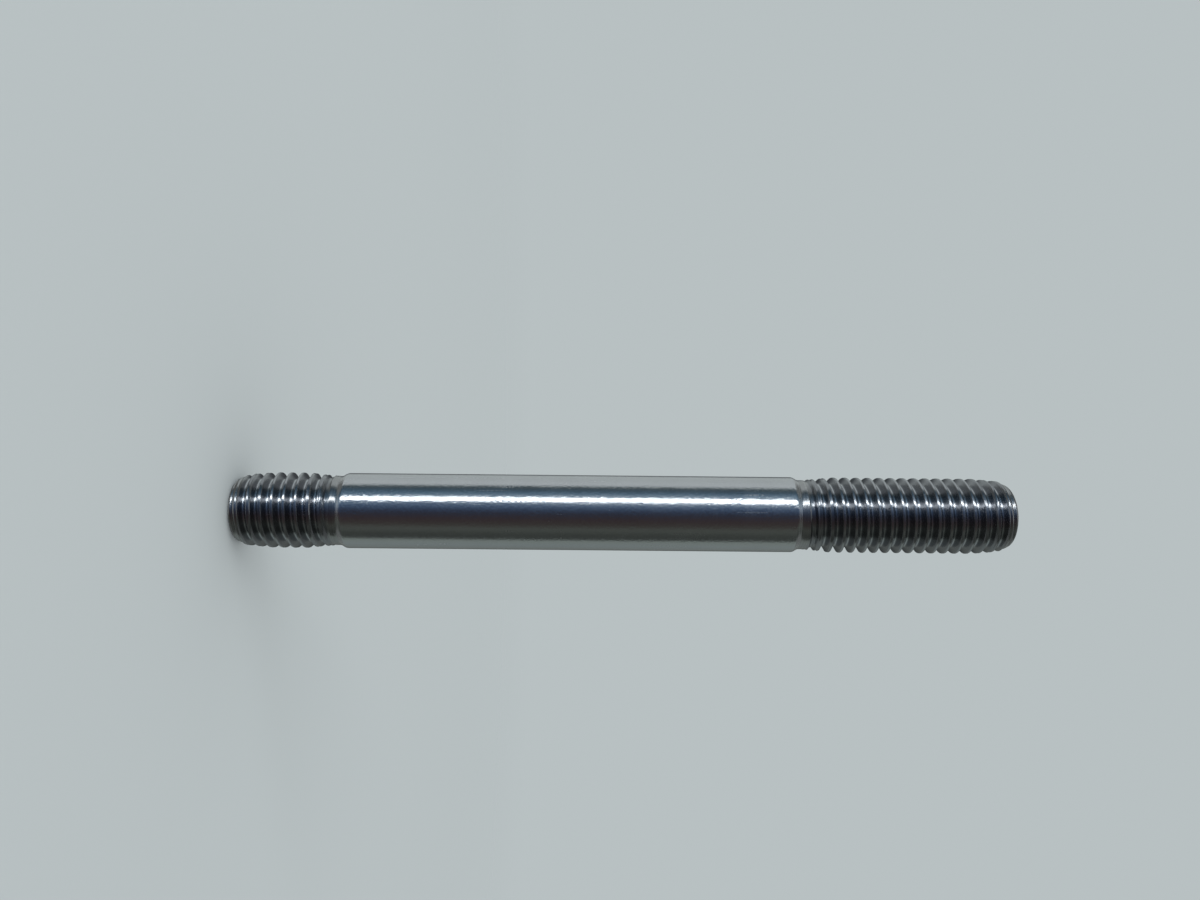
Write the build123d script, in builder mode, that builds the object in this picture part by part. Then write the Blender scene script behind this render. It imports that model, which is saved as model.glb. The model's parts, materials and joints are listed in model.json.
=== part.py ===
from build123d import *
from math import radians, tan
import os

# Double-ended stud, M10 x 1.5: one piece of bright steel with a right-hand rolled thread on each end.
# It stands on its metal end, the short thread that screws into the casting. +Z runs up its axis.
stud_length = 100.0
shank_diameter = 9.76
neck_diameter = 8.98        # the blank that the threads are rolled on, left bare beside each shoulder
neck_length = 0.8
shoulder_angle = 30.0       # cone from the neck out to the shank, measured from the axis

pitch = 1.5
major_diameter = 9.78
minor_diameter = 8.16
crest_width = 0.31
flank_angle = 30.0          # half of the 60 degree thread form
metal_thread_length = 12.8  # from the end face to the bare neck, run-out included
nut_thread_length = 26.6
thread_phase = 0.12         # height of a crest on the +X side, which both threads share

# Where a thread starts: a small bevel, a lead cone, then crests that gain their last height slowly.
end_face_diameter = 7.7
bevel_diameter = 8.0
bevel_length = 0.15
lead_diameter = 9.3
lead_length = 1.45
full_crest_start = 4.6

# Where a thread stops: its crests sink to the neck and its roots rise to it.
crest_runout = 3.8
root_runout = 1.7
last_crest_overlap = 0.3    # the last crest dies out this far along the neck
clearance = 0.05            # how far the trimming cones pass the surfaces that they cut

shank_radius = shank_diameter / 2
neck_radius = neck_diameter / 2
major_radius = major_diameter / 2
minor_radius = minor_diameter / 2
lead_radius = lead_diameter / 2
shoulder_length = (shank_radius - neck_radius) / tan(radians(shoulder_angle))
buried_radius = minor_radius - 2 * clearance
half_crest = crest_width / 2
half_base = half_crest + (major_radius - buried_radius) * tan(radians(flank_angle))

# The two ends. On each plane X is the radius and Y is the distance in from the end face.
metal_end = Plane.XZ
nut_end = Plane(origin=(0, 0, stud_length), x_dir=(1, 0, 0), z_dir=(0, 1, 0))

# One turn of the ridge that stands between the roots, starting and ending on the XZ plane.
with BuildPart() as ridge:
    with BuildLine():
        Helix(pitch, pitch, major_radius)
    with BuildSketch(Plane.XZ):
        with BuildLine():
            Polyline(
                (buried_radius, -half_base),
                (major_radius, -half_crest),
                (major_radius, half_crest),
                (buried_radius, half_base),
                close=True,
            )
        make_face()
    sweep(is_frenet=True)


def thread_outline(length):
    """Radius and distance from the end face along the shape that a thread is trimmed to."""
    crest_slope = (major_radius - lead_radius) / (full_crest_start - lead_length)
    runout_slope = (major_radius - neck_radius) / crest_runout
    last_crest = length + last_crest_overlap
    return [
        (0, 0),
        (end_face_diameter / 2, 0),
        (bevel_diameter / 2, bevel_length),
        (lead_radius, lead_length),
        (major_radius + clearance, full_crest_start + clearance / crest_slope),
        (major_radius + clearance, last_crest - crest_runout - clearance / runout_slope),
        (neck_radius - clearance, last_crest + clearance / runout_slope),
        (0, last_crest + clearance / runout_slope),
    ]


def rolled_thread(end, length, first_turn, turns):
    """One thread: ridges stacked on a bar of the minor diameter, then trimmed to the outline of its end."""
    with BuildPart() as thread:
        with BuildSketch(Plane.XY.offset(first_turn * pitch)):
            Circle(minor_radius)
        extrude(amount=turns * pitch)
        with Locations(*[(0, 0, thread_phase + (first_turn + turn) * pitch) for turn in range(turns)]):
            add(ridge.part, clean=False)
        with BuildSketch(end):
            with BuildLine():
                Polyline(*thread_outline(length), close=True)
            make_face()
        revolve(axis=Axis.Z, mode=Mode.INTERSECT, clean=False)
    return thread.part


def blank_outline(thread_length):
    """Radius and distance from the end face from inside a thread, along its neck, to the shank."""
    neck_end = thread_length + neck_length
    return [
        (0, thread_length - root_runout),
        (minor_radius - clearance, thread_length - root_runout),
        (neck_radius, thread_length),
        (neck_radius, neck_end),
        (shank_radius, neck_end + shoulder_length),
    ]


# Shank, shoulders and necks, with a cone inside each thread that fills its last roots.
metal_outline = blank_outline(metal_thread_length)
nut_outline = [(radius, stud_length - distance) for radius, distance in blank_outline(nut_thread_length)]
with BuildPart() as blank:
    with BuildSketch(Plane.XZ):
        with BuildLine():
            Polyline(*metal_outline, *reversed(nut_outline), close=True)
        make_face()
    revolve(axis=Axis.Z)

with BuildPart() as stud:
    add(blank.part)
    add(rolled_thread(metal_end, metal_thread_length, first_turn=-1, turns=12), clean=False)
    add(rolled_thread(nut_end, nut_thread_length, first_turn=47, turns=21), clean=False)

stud.part.label = "stud"
os.makedirs("parts", exist_ok=True)
export_step(stud.part, "parts/stud.step")
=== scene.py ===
import json
from math import atan2, cos, pi, radians, sin, sqrt, tan

import bmesh
import bpy
from mathutils import Matrix, Vector


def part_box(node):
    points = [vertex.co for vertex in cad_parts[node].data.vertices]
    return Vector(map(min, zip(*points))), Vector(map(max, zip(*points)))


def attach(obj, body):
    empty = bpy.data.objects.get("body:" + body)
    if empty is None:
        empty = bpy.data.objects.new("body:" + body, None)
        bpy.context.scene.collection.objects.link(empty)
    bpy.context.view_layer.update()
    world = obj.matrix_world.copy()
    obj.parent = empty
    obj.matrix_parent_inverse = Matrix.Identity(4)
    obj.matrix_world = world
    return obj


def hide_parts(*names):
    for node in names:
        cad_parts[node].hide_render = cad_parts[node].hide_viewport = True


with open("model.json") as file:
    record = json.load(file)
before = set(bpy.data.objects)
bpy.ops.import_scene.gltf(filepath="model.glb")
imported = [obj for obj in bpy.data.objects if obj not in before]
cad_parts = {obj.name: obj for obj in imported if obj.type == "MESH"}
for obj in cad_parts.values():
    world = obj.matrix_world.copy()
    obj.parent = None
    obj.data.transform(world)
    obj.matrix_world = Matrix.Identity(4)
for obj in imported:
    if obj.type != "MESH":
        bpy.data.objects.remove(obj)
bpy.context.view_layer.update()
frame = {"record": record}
print("frame loaded")

mm = 0.001
studLow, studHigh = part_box("stud")
studLength = studHigh.z - studLow.z
mounts = {mount["name"]: mount["dims"] for mount in frame["record"]["mounts"] if mount["dims"]}

# The stud stands on its metal end, as in the frame. Both of its threads are right-handed.
studShape = {
    "pitch": 1.5 * mm,
    "majorRadius": mounts["nut_end_thread"]["r_mm"] * mm,
    "crestRounding": 1.5 * mm,    # the crests are slightly domed
    "crestTilt": radians(3.5),    # slope of the dome where it meets the rounded edge
    "edgeRounding": 0.11 * mm,
    "rootRounding": 0.16 * mm,
    "flankAngle": radians(30),
    "phase": 0.12 * mm,           # height of a crest on the +X side
    "shankRadius": mounts["shank"]["r_mm"] * mm,
    "shankLength": mounts["shank"]["length_mm"] * mm,
    "neckRadius": 4.49 * mm,
    "shoulderRounding": 0.18 * mm,
    "shoulderSteps": 3,
    "metalThread": mounts["metal_end_thread"]["length_mm"] * mm,
    "nutThread": mounts["nut_end_thread"]["length_mm"] * mm,
    "neckOverlap": 0.45 * mm,     # how far the thread mesh runs on along the bare neck
    "bridgeGap": 0.05 * mm,       # from the end of the thread mesh to the first ring of the shank mesh
    "segments": 96,
    "crestSteps": 2,
    "edgeSteps": 4,
    "rootSteps": 3,
    "flankSteps": 4,
    "halfMerge": 0.001 * mm,      # joins a tooth's two halves
    "turnMerge": 0.002 * mm,      # joins one turn to the next
    "cutMerge": 0.02 * mm,        # a cut takes over vertices that lie this close to it
    "rimSnap": 0.025 * mm,        # vertices this close to an end of the mesh move onto it
    "rimReach": 0.03 * mm,        # edges this close to a height belong to the rim there
    "sharpAngle": radians(35),
}
shankStart = studLow.z + (studLength - studShape["shankLength"] - studShape["nutThread"]
                          + studShape["metalThread"]) / 2
shankEnd = shankStart + studShape["shankLength"]

# Distance from the end face, and the radius that limits the crests there.
studLead = {
    "faceRadius": 3.85 * mm,
    "bevel": (0.15 * mm, 4.0 * mm),
    "cone": (1.45 * mm, 4.65 * mm),
    "full": (4.6 * mm, 4.89 * mm),
}

# The crests sink and the roots rise towards the neck.
studRunout = {
    "crestLength": 3.8 * mm,
    "rootLength": 1.7 * mm,
    "rootLift": 0.475 * mm,       # from the roots up to the bare neck
    "overlap": 0.3 * mm,          # the last crest dies out this far along the neck
    "rounding": 0.03 * mm,        # softens the line where a tooth meets its limit
    "grooveDepth": 0.12 * mm,     # hollow between the two lips of a crest that isn't filled
    "grooveHalfWidth": 0.22 * mm,
    "grooveStart": 0.25 * mm,     # a crest sunk this far has the full hollow
    "fadeLength": 0.6 * mm,       # hollow and rounding end over this length before the neck
}


def collect(geom, kind):
    return [item for item in geom if isinstance(item, kind)]


def clamp(value, low, high):
    return min(max(value, low), high)


def spinVert(bm, vert, center, angle, steps):
    # Draws an arc in the XZ plane and returns its last vertex.
    arc = bmesh.ops.spin(bm, geom=[vert], cent=center, axis=(0, 1, 0), dvec=(0, 0, 0), angle=angle,
                         steps=steps, use_duplicate=False)
    return collect(arc["geom_last"], bmesh.types.BMVert)[0]


def threadSection(bm, s):
    # Half a tooth, from the middle of a root to the middle of a crest, then its mirror image.
    turn = pi / 2 - s["flankAngle"]
    tilt = s["crestTilt"]
    domeCenter = Vector((s["majorRadius"] - s["crestRounding"], 0, 0))
    inside = s["crestRounding"] - s["edgeRounding"]
    edgeCenter = domeCenter + inside * Vector((cos(tilt), 0, -sin(tilt)))
    flankTop = edgeCenter + s["edgeRounding"] * Vector((cos(turn), 0, -sin(turn)))
    footHeight = -s["pitch"] / 2 + s["rootRounding"] * sin(turn)
    footRadius = flankTop.x - (flankTop.z - footHeight) / tan(s["flankAngle"])
    rootCenter = Vector((footRadius + s["rootRounding"] * cos(turn), 0, -s["pitch"] / 2))
    root = bm.verts.new(rootCenter - Vector((s["rootRounding"], 0, 0)))
    last = spinVert(bm, root, rootCenter, turn, s["rootSteps"])
    step = (flankTop - last.co) / s["flankSteps"]
    for _ in range(s["flankSteps"]):
        last = bmesh.ops.extrude_vert_indiv(bm, verts=[last])["verts"][0]
        last.co += step
    last = spinVert(bm, last, edgeCenter, tilt - turn, s["edgeSteps"])
    spinVert(bm, last, domeCenter, -tilt, s["crestSteps"])
    bmesh.ops.mirror(bm, geom=bm.verts[:] + bm.edges[:], axis="Z", matrix=Matrix(),
                     merge_dist=s["halfMerge"])


def limitRadius(distance, length, s):
    # Largest radius that a tooth reaches at this distance from the end face.
    points = [(0, studLead["faceRadius"]), studLead["bevel"], studLead["cone"], studLead["full"]]
    lead = None
    for (nearX, nearR), (farX, farR) in zip(points, points[1:]):
        if lead is None or distance > nearX:
            lead = nearR + (farR - nearR) * (distance - nearX) / (farX - nearX)
    left = max(length + studRunout["overlap"] - distance, 0)
    runout = s["neckRadius"] + (s["majorRadius"] - s["neckRadius"]) * left / studRunout["crestLength"]
    return min(lead, runout)


def floorRadius(distance, length, s):
    # Smallest radius that a root has at this distance from the end face.
    into = distance - (length - studRunout["rootLength"])
    rise = clamp(into / studRunout["rootLength"], 0, 1)
    return s["neckRadius"] - studRunout["rootLift"] * (1 - rise)


def softMin(a, b, rounding):
    return (a + b - sqrt((a - b) ** 2 + rounding ** 2)) / 2


def shapeEnds(bm, s, length, face, inward):
    # Sinks the crests to the lead cone and to the run-out, and lifts the last roots to the neck.
    for vert in bm.verts:
        distance = (vert.co.z - face) * inward
        radius = vert.co.xy.length
        turnsUp = (vert.co.z - s["phase"]) / s["pitch"] - atan2(vert.co.y, vert.co.x) / (2 * pi)
        fromCrest = (turnsUp - round(turnsUp)) * s["pitch"]
        limit = limitRadius(distance, length, s)
        floor = floorRadius(distance, length, s)
        fade = clamp((length - distance) / studRunout["fadeLength"], 0, 1)
        unfilled = clamp((s["majorRadius"] - limit) / studRunout["grooveStart"], 0, 1) * fade
        hollow = max(1 - (fromCrest / studRunout["grooveHalfWidth"]) ** 2, 0)
        limit -= studRunout["grooveDepth"] * unfilled * hollow
        wanted = max(softMin(radius, limit, studRunout["rounding"] * fade), min(floor, limit))
        vert.co.xy *= wanted / radius


def makeThread(bm, s, length, face, inward):
    # inward is +1 where the stud lies above the end face, -1 where it lies below.
    section = bmesh.new()
    threadSection(section, s)
    climb = s["pitch"] / s["segments"]
    bmesh.ops.spin(section, geom=section.verts[:] + section.edges[:], cent=(0, 0, 0), axis=(0, 0, 1),
                   dvec=(0, 0, climb), angle=2 * pi, steps=s["segments"], use_duplicate=False)
    oneTurn = bpy.data.meshes.new("oneTurn")
    section.to_mesh(oneTurn)
    section.free()
    neckPlane = face + inward * (length + s["neckOverlap"])
    low = min(face, neckPlane)
    high = max(face, neckPlane)
    firstTurn = int(low // s["pitch"]) - 2
    for turn in range(int((high - low) / s["pitch"]) + 5):
        before = len(bm.verts)
        bm.from_mesh(oneTurn)
        bm.verts.ensure_lookup_table()
        lift = s["phase"] + (firstTurn + turn) * s["pitch"]
        bmesh.ops.translate(bm, verts=bm.verts[before:], vec=(0, 0, lift))
    bpy.data.meshes.remove(oneTurn)
    bmesh.ops.remove_doubles(bm, verts=bm.verts[:], dist=s["turnMerge"])
    for plane, side in ((low, -1), (high, 1)):
        bmesh.ops.bisect_plane(bm, geom=bm.verts[:] + bm.edges[:] + bm.faces[:], dist=s["cutMerge"],
                               plane_co=(0, 0, plane), plane_no=(0, 0, side), clear_outer=True)
        for vert in bm.verts:
            if abs(vert.co.z - plane) < s["rimSnap"]:
                vert.co.z = plane
    for distance in (studLead["bevel"][0], studLead["cone"][0]):
        bmesh.ops.bisect_plane(bm, geom=bm.verts[:] + bm.edges[:] + bm.faces[:], dist=s["cutMerge"],
                               plane_co=(0, 0, face + inward * distance), plane_no=(0, 0, 1))
    shapeEnds(bm, s, length, face, inward)


def rimAt(bm, s, height):
    return [edge for edge in bm.edges
            if edge.is_boundary and abs(edge.verts[0].co.z - height) < s["rimReach"]]


def growRing(bm, ring, height, radius):
    # Extrudes a ring of edges to a new height and radius.
    grown = bmesh.ops.extrude_edge_only(bm, edges=ring)["geom"]
    verts = collect(grown, bmesh.types.BMVert)
    bmesh.ops.translate(bm, verts=verts, vec=(0, 0, height - verts[0].co.z))
    scale = radius / verts[0].co.xy.length
    bmesh.ops.scale(bm, verts=verts, vec=(scale, scale, 1))
    return collect(grown, bmesh.types.BMEdge)


def makeShank(bm, s, low, high):
    # Bare neck, shoulder, shank, shoulder and bare neck, as one tube with its shoulder corners rounded.
    slant = (s["shankRadius"] - s["neckRadius"]) / tan(s["flankAngle"])
    circle = bmesh.ops.create_circle(bm, segments=s["segments"], radius=s["neckRadius"])["verts"]
    bmesh.ops.translate(bm, verts=circle, vec=(0, 0, low))
    first = list(dict.fromkeys(edge for vert in circle for edge in vert.link_edges))
    ring = first
    corners = []
    for height, radius in ((shankStart - slant, s["neckRadius"]), (shankStart, s["shankRadius"]),
                           (shankEnd, s["shankRadius"]), (shankEnd + slant, s["neckRadius"])):
        ring = growRing(bm, ring, height, radius)
        corners += ring
    last = growRing(bm, ring, high, s["neckRadius"])
    bmesh.ops.bevel(bm, geom=corners, offset=s["shoulderRounding"], offset_type="OFFSET",
                    affect="EDGES", segments=s["shoulderSteps"], profile=0.5, material=-1)
    return first, last


def makeStud():
    s = studShape
    metalStop = studLow.z + s["metalThread"] + s["neckOverlap"]
    nutStop = studHigh.z - s["nutThread"] - s["neckOverlap"]
    bm = bmesh.new()
    makeThread(bm, s, s["metalThread"], studLow.z, 1)
    metalRim = rimAt(bm, s, metalStop)
    other = bmesh.new()
    makeThread(other, s, s["nutThread"], studHigh.z, -1)
    nutMesh = bpy.data.meshes.new("nutThread")
    other.to_mesh(nutMesh)
    other.free()
    bm.from_mesh(nutMesh)
    bpy.data.meshes.remove(nutMesh)
    nutRim = rimAt(bm, s, nutStop)
    first, last = makeShank(bm, s, metalStop + s["bridgeGap"], nutStop - s["bridgeGap"])
    bmesh.ops.bridge_loops(bm, edges=metalRim + first)
    bmesh.ops.bridge_loops(bm, edges=nutRim + last)
    for face in (studLow.z, studHigh.z):
        bmesh.ops.edgeloop_fill(bm, edges=rimAt(bm, s, face))
    bmesh.ops.recalc_face_normals(bm, faces=bm.faces[:])
    loose = [edge for edge in bm.edges if not edge.is_manifold]
    print("stud faces", len(bm.faces), "open edges", len(loose))
    mesh = bpy.data.meshes.new("studSteel")
    bm.to_mesh(mesh)
    bm.free()
    mesh.shade_smooth()
    mesh.set_sharp_from_angle(angle=s["sharpAngle"])
    piece = bpy.data.objects.new("studSteel", mesh)
    bpy.context.scene.collection.objects.link(piece)
    return piece


class Value:
    # One output socket, so that sums and products of masks read as plain arithmetic.
    def __init__(self, nodes, socket):
        self.nodes = nodes
        self.socket = socket

    def math(self, operation, first, second=None):
        return self.nodes.add("ShaderNodeMath", {"operation": operation}, [first, second])

    def also(self, name):
        # Another output of the same node.
        return Value(self.nodes, self.socket.node.outputs[name])

    def __add__(self, other):
        return self.math("ADD", self, other)

    def __radd__(self, other):
        return self.math("ADD", other, self)

    def __sub__(self, other):
        return self.math("SUBTRACT", self, other)

    def __rsub__(self, other):
        return self.math("SUBTRACT", other, self)

    def __mul__(self, other):
        return self.math("MULTIPLY", self, other)

    def __rmul__(self, other):
        return self.math("MULTIPLY", other, self)

    def __truediv__(self, other):
        return self.math("DIVIDE", self, other)

    def __rtruediv__(self, other):
        return self.math("DIVIDE", other, self)


class Nodes:
    def __init__(self, tree):
        self.tree = tree

    def add(self, kind, settings, inputs, output=0):
        # inputs is a list in socket order or a dictionary by socket name.
        # A ramp's settings hold its stops.
        node = self.tree.nodes.new(kind)
        for name, value in settings.items():
            if name == "stops":
                self.setStops(node.color_ramp, value)
            else:
                setattr(node, name, value)
        pairs = enumerate(inputs) if isinstance(inputs, list) else inputs.items()
        for key, value in pairs:
            if isinstance(value, Value):
                self.tree.links.new(value.socket, node.inputs[key])
            elif value is not None:
                node.inputs[key].default_value = value
        return Value(self, node.outputs[output]) if node.outputs else None

    def setStops(self, ramp, stops):
        while len(ramp.elements) < len(stops):
            ramp.elements.new(0.5)
        for element, (position, color) in zip(ramp.elements, stops):
            element.position = position
            element.color = color

    def rise(self, value, start, end):
        # 0 before start, 1 past end, smooth between.
        return self.add("ShaderNodeMapRange", {"interpolation_type": "SMOOTHSTEP"},
                        {"Value": value, "From Min": start, "From Max": end})

    def noise(self, place, scale, detail):
        stretched = self.add("ShaderNodeVectorMath", {"operation": "MULTIPLY"}, [place, scale])
        return self.add("ShaderNodeTexNoise", {}, {"Vector": stretched, "Scale": 1.0, "Detail": detail})

    def mixColor(self, factor, first, second):
        return self.add("ShaderNodeMix", {"data_type": "RGBA"}, {0: factor, 6: first, 7: second}, 2)


def makeMaterial(name):
    material = bpy.data.materials.new(name)
    material.use_nodes = True
    material.node_tree.nodes.clear()
    return material, Nodes(material.node_tree)


# Bare bright steel. The tones of the threads, necks and shoulders are listed here.
steelLook = {
    "color": (0.6, 0.61, 0.62, 1),
    "neckColor": (0.43, 0.43, 0.43, 1),
    "coneColor": (0.68, 0.68, 0.68, 1),     # the two shoulders
    # painted shade: the flanks are darker, so that the grooves between the teeth render dark
    "flankShadeColor": (0.34, 0.345, 0.36, 1),
    "crestHighlightColor": (0.46, 0.465, 0.48, 1),   # paler than the flanks: a painted highlight line along each crest
    "rootHighlightColor": (0.5, 0.51, 0.53, 1),      # and a painted highlight line along each root
    "shankRoughness": 0.17,
    "threadRoughness": 0.2,
    "neckRoughness": 0.24,
    "ringGrain": (90, 90, 6500),            # noise cycles in a metre, so it is drawn out round the stud
    "faceGrain": (5500, 1, 1),              # turning marks on the two end faces
    "fineGrain": (3200, 3200, 5200),
    "patches": (330, 330, 330),
    "scratches": (2600, 2600, 130),         # drawn out along the stud
    "scratchLevels": (0.66, 0.72),          # noise below the first is bare, above the second is scratch
    "ringRoughness": 0.16,
    "fineRoughness": 0.12,
    "patchRoughness": 0.08,
    "scratchRoughness": 0.1,
    "tone": 0.94,
    "patchTone": 0.1,
    "fineTone": 0.12,
    "ringTone": 0.6,                        # on the dull stretches only
    "bumpHeight": 0.006 * mm,
    "ringRelief": 0.35,
    "dullRingRelief": 0.6,                  # added on the dull stretches
    "fineRelief": 0.3,
    "shankFineRelief": 3.6,                 # added on the shank
    "scratchRelief": 0.12,
    "shankOuter": 0.1 * mm,                 # the shank's finish fades in from here before its corner
    "shankInner": 0.05 * mm,                # and is full from here past it
    "blankFade": 0.5 * mm,
    "coneRise": (0.02 * mm, 0.1 * mm),      # above the neck
    "leadFade": (0.8 * mm, 1.7 * mm),       # in from an end face
    "faceFade": (0.02 * mm, 0.1 * mm),      # in from an end face
    "rootRadii": (4.07 * mm, 4.18 * mm),
    "crestDepths": (0.012 * mm, 0.004 * mm),
}


def makeSteel():
    look = steelLook
    s = studShape
    material, nodes = makeMaterial("bareSteel")
    place = nodes.add("ShaderNodeTexCoord", {}, {}, "Object")
    height = nodes.add("ShaderNodeSeparateXYZ", {}, [place], "Z")
    flat = nodes.add("ShaderNodeVectorMath", {"operation": "MULTIPLY"}, [place, (1, 1, 0)])
    radius = nodes.add("ShaderNodeVectorMath", {"operation": "LENGTH"}, [flat], "Value")

    outer, inner = look["shankOuter"], look["shankInner"]
    onShank = nodes.rise(height, shankStart - outer, shankStart + inner)
    onShank = onShank * (1 - nodes.rise(height, shankEnd - inner, shankEnd + outer))
    metalStop = studLow.z + s["metalThread"]
    nutStop = studHigh.z - s["nutThread"]
    onBlank = nodes.rise(height, metalStop - look["blankFade"], metalStop)
    onBlank = onBlank * (1 - nodes.rise(height, nutStop, nutStop + look["blankFade"]))
    onNeck = onBlank * (1 - onShank)
    coneStart, coneEnd = look["coneRise"]
    onCone = onNeck * nodes.rise(radius, s["neckRadius"] + coneStart, s["neckRadius"] + coneEnd)
    fromFace = nodes.add("ShaderNodeMath", {"operation": "MINIMUM"},
                         [height - studLow.z, studHigh.z - height])
    onLead = 1 - nodes.rise(fromFace, *look["leadFade"])
    dull = nodes.add("ShaderNodeClamp", {}, [onNeck + onLead])
    rootLineMask = 1 - nodes.rise(radius, *look["rootRadii"])
    crestStart, crestEnd = look["crestDepths"]
    crestLineMask = nodes.rise(radius, s["majorRadius"] - crestStart, s["majorRadius"] - crestEnd)

    onFace = 1 - nodes.rise(fromFace, *look["faceFade"])
    across = nodes.add("ShaderNodeCombineXYZ", {}, [radius, height, 0.0])
    facing = nodes.noise(across, look["faceGrain"], 2)
    rings = nodes.noise(place, look["ringGrain"], 3)
    rings = rings + (facing - rings) * onFace
    fine = nodes.noise(place, look["fineGrain"], 2)
    patches = nodes.noise(place, look["patches"], 3)
    marks = nodes.rise(nodes.noise(place, look["scratches"], 2), *look["scratchLevels"])

    roughness = look["threadRoughness"] + (look["shankRoughness"] - look["threadRoughness"]) * onShank
    roughness = roughness + (look["neckRoughness"] - look["threadRoughness"]) * dull
    roughness = roughness + (rings - 0.5) * look["ringRoughness"] + (fine - 0.5) * look["fineRoughness"]
    roughness = roughness + (patches - 0.5) * look["patchRoughness"] + marks * look["scratchRoughness"]
    # Painted shade on the flanks, and painted highlight lines along the roots and crests.
    thread = nodes.mixColor(rootLineMask, look["flankShadeColor"], look["rootHighlightColor"])
    thread = nodes.mixColor(crestLineMask, thread, look["crestHighlightColor"])
    color = nodes.mixColor(onShank, thread, look["color"])
    color = nodes.mixColor(dull, color, look["neckColor"])
    color = nodes.mixColor(onCone, color, look["coneColor"])
    tone = look["tone"] + (patches - 0.5) * look["patchTone"] + (fine - 0.5) * look["fineTone"]
    tone = tone + (rings - 0.5) * dull * look["ringTone"]
    shade = nodes.add("ShaderNodeVectorMath", {"operation": "SCALE"}, {"Vector": color, "Scale": tone})
    relief = rings * (look["ringRelief"] + dull * look["dullRingRelief"])
    relief = relief + fine * (look["fineRelief"] + onShank * look["shankFineRelief"])
    relief = relief - marks * look["scratchRelief"]
    bump = nodes.add("ShaderNodeBump", {},
                     {"Strength": 1.0, "Distance": look["bumpHeight"], "Height": relief})
    shader = nodes.add("ShaderNodeBsdfPrincipled", {}, {"Base Color": shade, "Metallic": 1.0,
                                                        "Roughness": roughness, "Normal": bump})
    nodes.add("ShaderNodeOutputMaterial", {}, {"Surface": shader})
    return material


stud = makeStud()
stud.data.materials.append(makeSteel())
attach(stud, "root")
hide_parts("stud")
print("stud made")

# Tones of the room round the stud, by degrees from the camera side. They go up towards -X.
roomTones = [
    (-180, (0.05, 0.055, 0.055, 1)), (-163, (0.07, 0.08, 0.08, 1)), (-150, (0.19, 0.21, 0.2, 1)),
    (-118, (0.25, 0.29, 0.29, 1)), (-93, (0.25, 0.29, 0.27, 1)), (-88, (0.06, 0.068, 0.064, 1)),
    (-71, (0.057, 0.064, 0.059, 1)), (-50, (0.092, 0.103, 0.093, 1)), (-36, (0.06, 0.054, 0.05, 1)),
    (-20, (0.051, 0.038, 0.041, 1)), (0, (0.036, 0.042, 0.064, 1)), (13, (0.05, 0.08, 0.145, 1)),
    (24, (0.11, 0.17, 0.27, 1)), (42, (0.3, 0.4, 0.5, 1)), (60, (0.13, 0.22, 0.31, 1)),
    (70, (0.07, 0.12, 0.17, 1)), (80, (0.06, 0.09, 0.11, 1)), (88, (0.09, 0.12, 0.13, 1)),
    (93, (0.62, 0.67, 0.69, 1)), (118, (0.54, 0.59, 0.6, 1)), (150, (0.5, 0.55, 0.55, 1)),
    (163, (0.09, 0.1, 0.11, 1)), (180, (0.05, 0.055, 0.055, 1)),
]

stageLook = {
    "pale": (0.48, 0.53, 0.54, 1),
    "worldLight": 0.903,
    "floorRadius": 1.2,
    "floorSegments": 64,
    "floorGap": 0.03 * mm,                # keeps the floor clear of the end face that stands on it
    "fadeStart": 0.05,                    # the floor gives way to the backdrop between these radii
    "fadeEnd": 0.6,
    "softboxPlace": Vector((-0.35, -0.3, 0.7)),
    "softboxSize": 0.35,
    "softboxPower": 0.9,
    "roomRadius": 1.6,
    "roomDetail": 4,
    "cornerTone": (0.14, 0.15, 0.15, 1),  # behind the stud, towards its two ends
    "cornerStart": 0.45,                  # heights in the room, where its radius is 1
    "cornerEnd": 0.7,
    "backEdge": 0.03,                     # half the width of the fade between front and back
    "poleTone": (0.42, 0.44, 0.45, 1),    # above the stud and below it
    "poleStart": 0.93,
    "poleEnd": 0.99,
    "poleLean": 0.15,                     # the pale caps reach further down on the -X side
    "stripAngle": radians(42),
    "stripDistance": 1.0,
    "stripWidth": 0.11,
    "stripLength": 2.0,
    "stripPower": 5.2,
    "stripColor": (0.94, 0.98, 1),
}


def addMesh(bm, name, material):
    mesh = bpy.data.meshes.new(name)
    bm.to_mesh(mesh)
    bm.free()
    mesh.materials.append(material)
    piece = bpy.data.objects.new(name, mesh)
    bpy.context.scene.collection.objects.link(piece)
    return piece


def makeFloor(s):
    material, nodes = makeMaterial("paleFloor")
    place = nodes.add("ShaderNodeTexCoord", {}, {}, "Object")
    far = nodes.add("ShaderNodeVectorMath", {"operation": "LENGTH"}, [place], "Value")
    matte = nodes.add("ShaderNodeBsdfDiffuse", {}, {"Color": s["pale"]})
    clear = nodes.add("ShaderNodeBsdfTransparent", {}, {})
    fade = nodes.rise(far, s["fadeStart"], s["fadeEnd"])
    surface = nodes.add("ShaderNodeMixShader", {}, [fade, matte, clear])
    nodes.add("ShaderNodeOutputMaterial", {}, {"Surface": surface})
    bm = bmesh.new()
    bmesh.ops.create_circle(bm, cap_ends=True, segments=s["floorSegments"], radius=s["floorRadius"])
    bmesh.ops.translate(bm, verts=bm.verts[:], vec=(0, 0, -s["floorGap"]))
    floor = addMesh(bm, "floor", material)
    floor.visible_glossy = False


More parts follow.
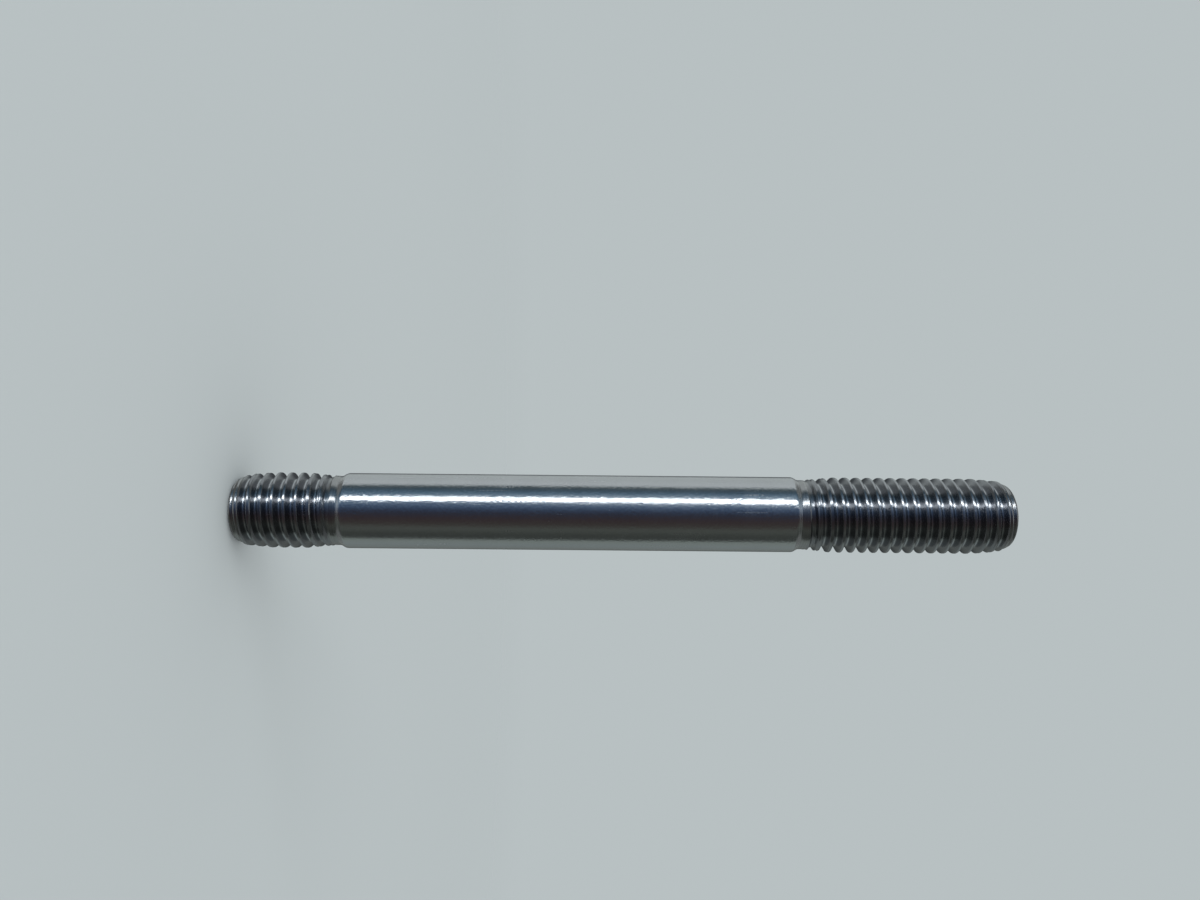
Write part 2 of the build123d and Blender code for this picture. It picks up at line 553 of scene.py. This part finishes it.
def makeRoom(s):
    # The metal shows this room, and nothing else does. It is dark on the camera side
    # and pale beside the stud.
    material, nodes = makeMaterial("room")
    place = nodes.add("ShaderNodeTexCoord", {}, {}, "Object")
    side = nodes.add("ShaderNodeSeparateXYZ", {}, [place], "X")
    angle = nodes.add("ShaderNodeMath", {"operation": "ARCTAN2"}, [0 - side, 0 - side.also("Y")])
    stops = [(0.5 + degrees / 360, color) for degrees, color in roomTones]
    tones = nodes.add("ShaderNodeValToRGB", {"stops": stops}, [angle / (2 * pi) + 0.5])
    steep = nodes.add("ShaderNodeMath", {"operation": "ABSOLUTE"}, [side.also("Z") / s["roomRadius"]])
    behind = nodes.rise(side.also("Y") / s["roomRadius"], -s["backEdge"], s["backEdge"])
    corner = nodes.rise(steep, s["cornerStart"], s["cornerEnd"])
    color = nodes.mixColor(behind * corner, tones, s["cornerTone"])
    high = steep - s["poleLean"] * side / s["roomRadius"]
    color = nodes.mixColor(nodes.rise(high, s["poleStart"], s["poleEnd"]), color, s["poleTone"])
    glow = nodes.add("ShaderNodeEmission", {}, {"Color": color, "Strength": 1.0})
    nodes.add("ShaderNodeOutputMaterial", {}, {"Surface": glow})
    bm = bmesh.new()
    bmesh.ops.create_icosphere(bm, subdivisions=s["roomDetail"], radius=s["roomRadius"])
    room = addMesh(bm, "room", material)
    room.visible_camera = False
    room.visible_diffuse = False
    room.visible_shadow = False
    room.visible_transmission = False


def makeWorld(s):
    world = bpy.data.worlds.new("studio")
    bpy.context.scene.world = world
    world.use_nodes = True
    world.node_tree.nodes.clear()
    nodes = Nodes(world.node_tree)
    camera = nodes.add("ShaderNodeLightPath", {}, {}, "Is Camera Ray")
    shown = camera + camera.also("Is Glossy Ray") + camera.also("Is Transmission Ray")
    seen = nodes.add("ShaderNodeClamp", {}, [shown])
    light = nodes.add("ShaderNodeBackground", {}, [(1, 1, 1, 1), s["worldLight"]])
    backdrop = nodes.add("ShaderNodeBackground", {}, [s["pale"], 1.0])
    surface = nodes.add("ShaderNodeMixShader", {}, [seen, light, backdrop])
    nodes.add("ShaderNodeOutputWorld", {}, {"Surface": surface})


def addLamp(name, width, length, power, color, place, target):
    data = bpy.data.lights.new(name, "AREA")
    data.shape = "RECTANGLE"
    data.size = width
    data.size_y = length
    data.energy = power
    data.color = color
    lamp = bpy.data.objects.new(name, data)
    bpy.context.scene.collection.objects.link(lamp)
    lamp.location = place
    lamp.rotation_mode = "QUATERNION"
    lamp.rotation_quaternion = (target - place).to_track_quat("-Z", "Y")
    lamp.visible_camera = False
    return lamp


def makeLamps(s):
    middle = (studLow + studHigh) / 2
    away = Vector((-sin(s["stripAngle"]), -cos(s["stripAngle"]), 0)) * s["stripDistance"]
    strip = addLamp("strip", s["stripWidth"], s["stripLength"], s["stripPower"], s["stripColor"],
                    middle + away, middle)
    strip.visible_diffuse = False
    softbox = addLamp("softbox", s["softboxSize"], s["softboxSize"], s["softboxPower"], (1, 1, 1),
                      s["softboxPlace"], studLow)
    softbox.visible_glossy = False


makeFloor(stageLook)
makeRoom(stageLook)
makeWorld(stageLook)
makeLamps(stageLook)
print("stage made")

cameraPlace = {
    "position": Vector((-7.30, -123.04, 46.39)) * mm,
    "target": Vector((-8.20, 0, 46.92)) * mm,
    "tilt": radians(-0.55),
    "lens": 28.27,
    "sensorWidth": 36,
    "clipStart": 0.005,
}


def makeCamera(s):
    # The camera lies on its side, so the stud runs across the picture with its metal end on the left.
    data = bpy.data.cameras.new("camera")
    data.lens = s["lens"]
    data.sensor_width = s["sensorWidth"]
    data.clip_start = s["clipStart"]
    camera = bpy.data.objects.new("camera", data)
    bpy.context.scene.collection.objects.link(camera)
    forward = (s["target"] - s["position"]).normalized()
    right = (Vector((0, 0, 1)) - forward * forward.z).normalized()
    right.rotate(Matrix.Rotation(s["tilt"], 3, forward))
    up = (-forward).cross(right)
    turn = Matrix((right, up, -forward)).transposed()
    camera.matrix_world = Matrix.Translation(s["position"]) @ turn.to_4x4()
    bpy.context.scene.camera = camera


makeCamera(cameraPlace)
bpy.context.scene.view_settings.view_transform = "Standard"
print("camera made")
